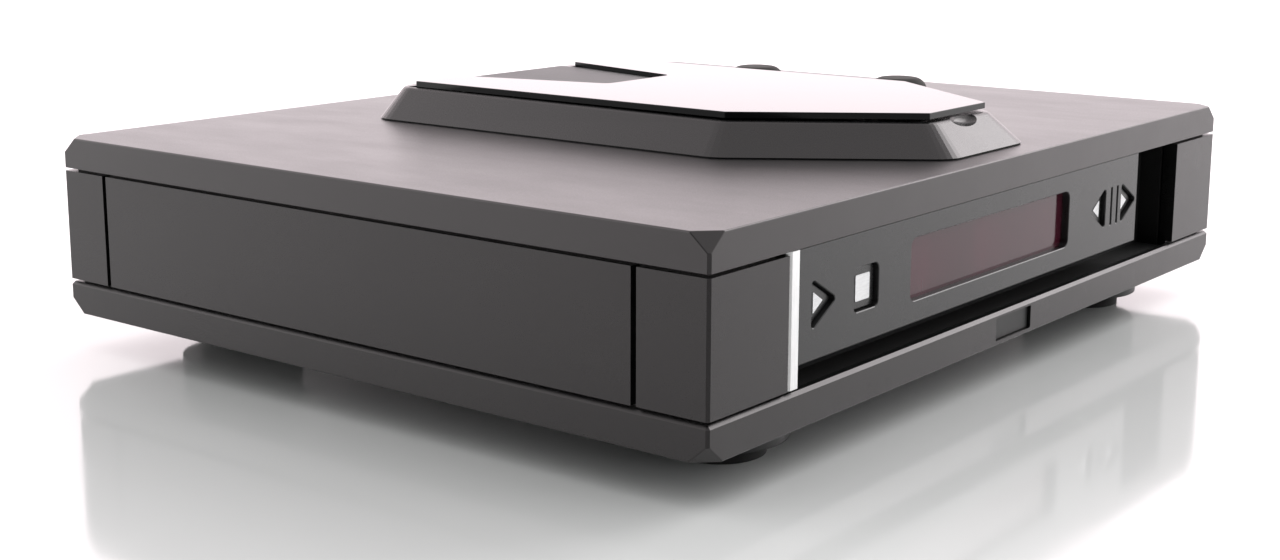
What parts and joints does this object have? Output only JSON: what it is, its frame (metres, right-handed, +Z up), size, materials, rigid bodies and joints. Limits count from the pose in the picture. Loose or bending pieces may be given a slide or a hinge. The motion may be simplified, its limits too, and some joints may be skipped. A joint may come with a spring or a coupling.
{
  "type": "compact disc player",
  "caption": "Low black top-loading disc player with shadow-gap covers, recessed display fascia, shaped transport buttons and a hinged angular lid on a raised plinth.",
  "frame": {"origin": "centre of the outline seen from above, on the surface the feet stand on", "axes": "+X to the right seen from the front, +Y to the back, +Z up"},
  "size_m": [0.432, 0.35, 0.1128],
  "materials": {
    "case_black": "satin",
    "panel_black": "satin",
    "inner_black": "matte",
    "strip": "polished",
    "fascia": "satin",
    "display_glass": "gloss",
    "display_module": "gloss",
    "sensor": "gloss",
    "board": "satin",
    "dark_plastic": "matte",
    "button_cap": "satin",
    "button_mark": "satin",
    "power_cap": "matte",
    "plinth": "matte",
    "gasket": "matte",
    "hinge_block": "matte",
    "steel": "satin",
    "lid": "gloss",
    "magnet": "satin",
    "bay": "satin",
    "chassis_steel": "satin",
    "rubber": "matte",
    "motor": "satin",
    "lens": "gloss",
    "capacitor": "satin",
    "heatsink": "satin",
    "copper": "satin",
    "gold": "polished",
    "insert": "satin",
    "puck": "satin"
  },
  "bodies": {
    "case": {"bottom_cover": "case_black", "top_cover": "case_black", "pillar_front_left": "panel_black", "pillar_front_right": "panel_black", "pillar_rear_left": "panel_black", "pillar_rear_right": "panel_black", "side_panel_left": "panel_black", "side_panel_right": "panel_black", "trim_strip": "strip", "fascia": "fascia", "recess_liner": "inner_black", "display_window": "display_glass", "display_module": "display_module", "infrared_receiver": "sensor", "front_board": "board", "button_switches": "dark_plastic", "power_switch": "dark_plastic", "plinth": "plinth", "plinth_gasket": "gasket", "hinge_block": "hinge_block", "hinge_pin": "steel", "disc_bay": "bay", "mechanism_chassis": "chassis_steel", "guide_rods": "steel", "isolators": "rubber", "spindle_motor": "motor", "sled_motor": "motor", "main_board": "board", "transformer": "copper", "transformer_clamp": "steel", "capacitors": "capacitor", "heatsink": "heatsink", "chips": "dark_plastic", "rear_panel": "inner_black", "phono_sockets": "gold", "phono_inserts": "insert", "optical_socket": "dark_plastic", "mains_inlet": "dark_plastic", "inlet_pins": "steel", "feet": "rubber", "case_screws": "steel", "top_pucks": "puck"},
    "play": {"play_button": "button_cap", "play_mark": "button_mark"},
    "stop": {"stop_button": "button_cap", "stop_mark": "button_mark"},
    "previous": {"previous_button": "button_cap", "previous_mark": "button_mark"},
    "next": {"next_button": "button_cap", "next_mark": "button_mark"},
    "power": {"power_button": "power_cap"},
    "lid": {"lid": "lid", "lid_lugs": "dark_plastic", "clamp_carrier": "dark_plastic"},
    "clamp": {"disc_clamp": "dark_plastic", "clamp_magnet": "magnet"},
    "spindle": {"spindle_hub": "dark_plastic"},
    "sled": {"laser_sled": "dark_plastic", "laser_lens": "lens"},
    "screw": {"sled_screw": "steel"}
  },
  "joints": [
    {"name": "lid_hinge", "type": "hinge", "parent": "case", "child": "lid", "pos_m": [0, 0.098, 0.1074], "axis": [-1, 0, 0], "range_deg": [0, 75]},
    {"name": "clamp_turn", "type": "hinge", "parent": "lid", "child": "clamp", "pos_m": [0, -0.058, 0.1068], "axis": [0, 0, 1], "continuous": true},
    {"name": "spindle_turn", "type": "hinge", "parent": "case", "child": "spindle", "pos_m": [0, -0.058, 0.1005], "axis": [0, 0, 1], "continuous": true},
    {"name": "sled_slide", "type": "slide", "parent": "case", "child": "sled", "axis": [0, 1, 0], "range_m": [0, 0.033]},
    {"name": "screw_turn", "type": "hinge", "parent": "case", "child": "screw", "pos_m": [0.0335, -0.05, 0.092], "axis": [0, 1, 0], "range_deg": [-1, 3965]},
    {"name": "play_press", "type": "slide", "parent": "case", "child": "play", "axis": [0, 1, 0], "range_m": [0, 0.001], "stiffness_N_per_m": 300, "springref_m": -0.002},
    {"name": "stop_press", "type": "slide", "parent": "case", "child": "stop", "axis": [0, 1, 0], "range_m": [0, 0.001], "stiffness_N_per_m": 300, "springref_m": -0.002},
    {"name": "previous_press", "type": "slide", "parent": "case", "child": "previous", "axis": [0, 1, 0], "range_m": [0, 0.001], "stiffness_N_per_m": 300, "springref_m": -0.002},
    {"name": "next_press", "type": "slide", "parent": "case", "child": "next", "axis": [0, 1, 0], "range_m": [0, 0.001], "stiffness_N_per_m": 300, "springref_m": -0.002},
    {"name": "power_press", "type": "slide", "parent": "case", "child": "power", "axis": [0, 1, 0], "range_m": [0, 0.0012], "stiffness_N_per_m": 300, "springref_m": -0.002}
  ],
  "couplings": [
    {"joint": "screw_turn", "follows": "sled_slide", "rad_per_m": 2094.4}
  ]
}
